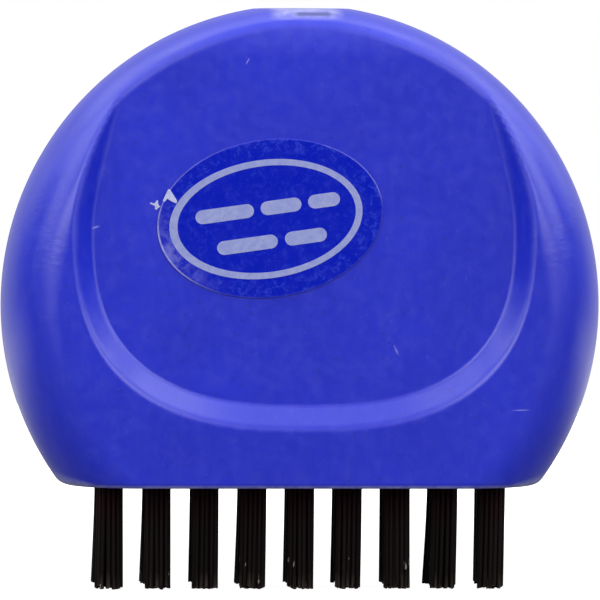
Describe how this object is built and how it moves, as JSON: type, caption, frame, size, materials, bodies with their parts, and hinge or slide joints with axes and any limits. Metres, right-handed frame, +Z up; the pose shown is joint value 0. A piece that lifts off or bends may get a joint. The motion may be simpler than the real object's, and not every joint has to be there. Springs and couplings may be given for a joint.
{
  "type": "club groove brush",
  "caption": "Palm-held brush for cleaning golf club grooves: round satin plastic body with thumb recesses and short stapled nylon tufts along a flat bristle face.",
  "frame": {"origin": "centre of the footprint at the bristle tips, under the middle of the body", "axes": "+Z up to the crown of the body, +X along the rows of tufts, -Y towards the face that carries the label"},
  "size_m": [0.054, 0.017, 0.0522],
  "materials": {
    "blue_plastic": "satin moulded polypropylene, royal blue",
    "black_nylon": "black nylon filament, slightly glossy, with cut ends",
    "anchor_wire": "flat drawn wire, bright",
    "label_film": "clear self-adhesive film with a pale printed ring"
  },
  "bodies": {
    "root": {"handle_body": "blue_plastic", "tuft_front_1": "black_nylon", "tuft_front_2": "black_nylon", "tuft_front_3": "black_nylon", "tuft_front_4": "black_nylon", "tuft_front_5": "black_nylon", "tuft_front_6": "black_nylon", "tuft_front_7": "black_nylon", "tuft_front_8": "black_nylon", "tuft_front_9": "black_nylon", "tuft_back_1": "black_nylon", "tuft_back_2": "black_nylon", "tuft_back_3": "black_nylon", "tuft_back_4": "black_nylon", "tuft_back_5": "black_nylon", "tuft_back_6": "black_nylon", "tuft_back_7": "black_nylon", "tuft_back_8": "black_nylon", "tuft_back_9": "black_nylon", "anchor_front_1": "anchor_wire", "anchor_front_2": "anchor_wire", "anchor_front_3": "anchor_wire", "anchor_front_4": "anchor_wire", "anchor_front_5": "anchor_wire", "anchor_front_6": "anchor_wire", "anchor_front_7": "anchor_wire", "anchor_front_8": "anchor_wire", "anchor_front_9": "anchor_wire", "anchor_back_1": "anchor_wire", "anchor_back_2": "anchor_wire", "anchor_back_3": "anchor_wire", "anchor_back_4": "anchor_wire", "anchor_back_5": "anchor_wire", "anchor_back_6": "anchor_wire", "anchor_back_7": "anchor_wire", "anchor_back_8": "anchor_wire", "anchor_back_9": "anchor_wire", "origin_label": "label_film"}
  },
  "joints": []
}
